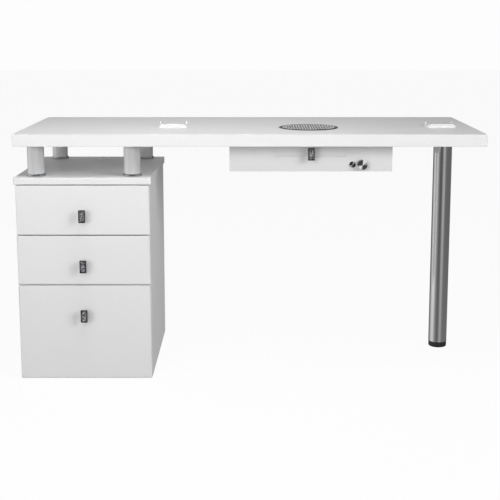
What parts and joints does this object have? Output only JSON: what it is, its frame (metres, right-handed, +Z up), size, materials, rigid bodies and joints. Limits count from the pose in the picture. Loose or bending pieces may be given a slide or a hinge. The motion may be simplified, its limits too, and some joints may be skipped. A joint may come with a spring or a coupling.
{
  "type": "manicure table",
  "caption": "Manicure table with a worktop on posts above a drawer pedestal and on one tube leg, a round vent grille, and a dust extractor with a pull-out filter tray.",
  "frame": {"origin": "on the floor, under the middle of the whole table's box, handles included", "axes": "+Z up, +X to the right along the worktop, +Y to the back; the drawers and the sitter are on the -Y side"},
  "size_m": [1.4, 0.585, 0.7626],
  "materials": {
    "white_laminate": "white melamine-faced board",
    "white_powder_coat": "white powder coat",
    "white_plastic": "white moulded plastic",
    "brushed_aluminium": "brushed, long lines up and down",
    "polished_steel": "chrome-like polished tube",
    "dark_chrome": "dark polished chrome",
    "gunmetal": "black nickel",
    "crystal": "foiled cut stones",
    "zinc_steel": "zinc plated",
    "perforated_steel": "perforated sheet",
    "black_plastic": "moulded",
    "beech": "fluted beech",
    "filter_felt": "pleated felt",
    "motor_steel": "satin"
  },
  "bodies": {
    "table": {"worktop": "white_laminate", "pedestal_top": "white_laminate", "pedestal_side_left": "white_laminate", "pedestal_side_right": "white_laminate", "pedestal_bottom": "white_laminate", "pedestal_back": "white_laminate", "pedestal_glides": "black_plastic", "pedestal_dowels": "beech", "runner_outer": "zinc_steel", "posts": "brushed_aluminium", "post_rosettes": "dark_chrome", "post_bolts": "zinc_steel", "grommet_ring": "white_plastic", "leg_tube": "polished_steel", "leg_plate": "zinc_steel", "leg_screws": "zinc_steel", "leg_insert": "black_plastic", "extractor_front": "white_powder_coat", "extractor_case": "white_powder_coat", "case_screws": "zinc_steel", "tray_guides": "zinc_steel", "fan_frame": "black_plastic", "fan_motor": "motor_steel", "speed_control": "zinc_steel", "power_switch": "dark_chrome", "cable_gland": "black_plastic", "grille_ring": "gunmetal", "grille": "perforated_steel", "outlet_left_frame": "white_plastic", "outlet_right_frame": "white_plastic"},
    "drawer_1": {"drawer_1_front": "white_laminate", "drawer_1_box": "white_laminate", "drawer_1_handle": "gunmetal", "drawer_1_crystals": "crystal", "drawer_1_runner": "zinc_steel"},
    "runner_middle_1": {"runner_middle_1": "zinc_steel"},
    "drawer_2": {"drawer_2_front": "white_laminate", "drawer_2_box": "white_laminate", "drawer_2_handle": "gunmetal", "drawer_2_crystals": "crystal", "drawer_2_runner": "zinc_steel"},
    "runner_middle_2": {"runner_middle_2": "zinc_steel"},
    "drawer_3": {"drawer_3_front": "white_laminate", "drawer_3_box": "white_laminate", "drawer_3_handle": "gunmetal", "drawer_3_crystals": "crystal", "drawer_3_runner": "zinc_steel"},
    "runner_middle_3": {"runner_middle_3": "zinc_steel"},
    "filter_tray": {"tray_front": "white_powder_coat", "tray_box": "white_powder_coat", "tray_filter": "filter_felt", "tray_handle": "gunmetal", "tray_crystals": "crystal"},
    "speed_knob": {"speed_knob": "brushed_aluminium"},
    "power_button": {"power_button": "dark_chrome"},
    "fan_impeller": {"fan_impeller": "black_plastic"},
    "outlet_left_lid": {"outlet_left_lid": "white_plastic"},
    "outlet_right_lid": {"outlet_right_lid": "white_plastic"},
    "leg_foot": {"leg_foot": "black_plastic"},
    "grommet_cap": {"grommet_cap": "white_plastic"}
  },
  "joints": [
    {"name": "drawer_1_slide", "type": "slide", "parent": "table", "child": "drawer_1", "axis": [0, -1, 0], "range_m": [0, 0.42]},
    {"name": "runner_1_slide", "type": "slide", "parent": "table", "child": "runner_middle_1", "axis": [0, -1, 0], "range_m": [0, 0.21]},
    {"name": "drawer_2_slide", "type": "slide", "parent": "table", "child": "drawer_2", "axis": [0, -1, 0], "range_m": [0, 0.42]},
    {"name": "runner_2_slide", "type": "slide", "parent": "table", "child": "runner_middle_2", "axis": [0, -1, 0], "range_m": [0, 0.21]},
    {"name": "drawer_3_slide", "type": "slide", "parent": "table", "child": "drawer_3", "axis": [0, -1, 0], "range_m": [0, 0.42]},
    {"name": "runner_3_slide", "type": "slide", "parent": "table", "child": "runner_middle_3", "axis": [0, -1, 0], "range_m": [0, 0.21]},
    {"name": "filter_tray_slide", "type": "slide", "parent": "table", "child": "filter_tray", "axis": [0, -1, 0], "range_m": [0, 0.22]},
    {"name": "speed_knob_turn", "type": "hinge", "parent": "table", "child": "speed_knob", "pos_m": [0.338, -0.209, 0.653], "axis": [0, 1, 0], "range_deg": [0, 270]},
    {"name": "power_button_press", "type": "slide", "parent": "table", "child": "power_button", "axis": [0, 1, 0], "range_m": [0, 0.003], "stiffness_N_per_m": 400, "springref_m": -0.001},
    {"name": "fan_spin", "type": "hinge", "parent": "table", "child": "fan_impeller", "pos_m": [0.184, -0.0615, 0.65], "axis": [0, 0, 1], "continuous": true},
    {"name": "outlet_left_lid_hinge", "type": "hinge", "parent": "table", "child": "outlet_left_lid", "pos_m": [-0.242, 0.0005, 0.759], "axis": [-1, 0, 0], "range_deg": [0, 100]},
    {"name": "outlet_right_lid_hinge", "type": "hinge", "parent": "table", "child": "outlet_right_lid", "pos_m": [0.602, 0.0005, 0.759], "axis": [-1, 0, 0], "range_deg": [0, 100]},
    {"name": "foot_screw", "type": "slide", "parent": "table", "child": "leg_foot", "axis": [0, 0, -1], "range_m": [0, 0.02]},
    {"name": "grommet_cap_turn", "type": "hinge", "parent": "table", "child": "grommet_cap", "pos_m": [-0.496, 0.1615, 0.6225], "axis": [0, 0, 1], "continuous": true}
  ],
  "couplings": [
    {"joint": "runner_1_slide", "follows": "drawer_1_slide", "ratio": 0.5},
    {"joint": "runner_2_slide", "follows": "drawer_2_slide", "ratio": 0.5},
    {"joint": "runner_3_slide", "follows": "drawer_3_slide", "ratio": 0.5}
  ]
}
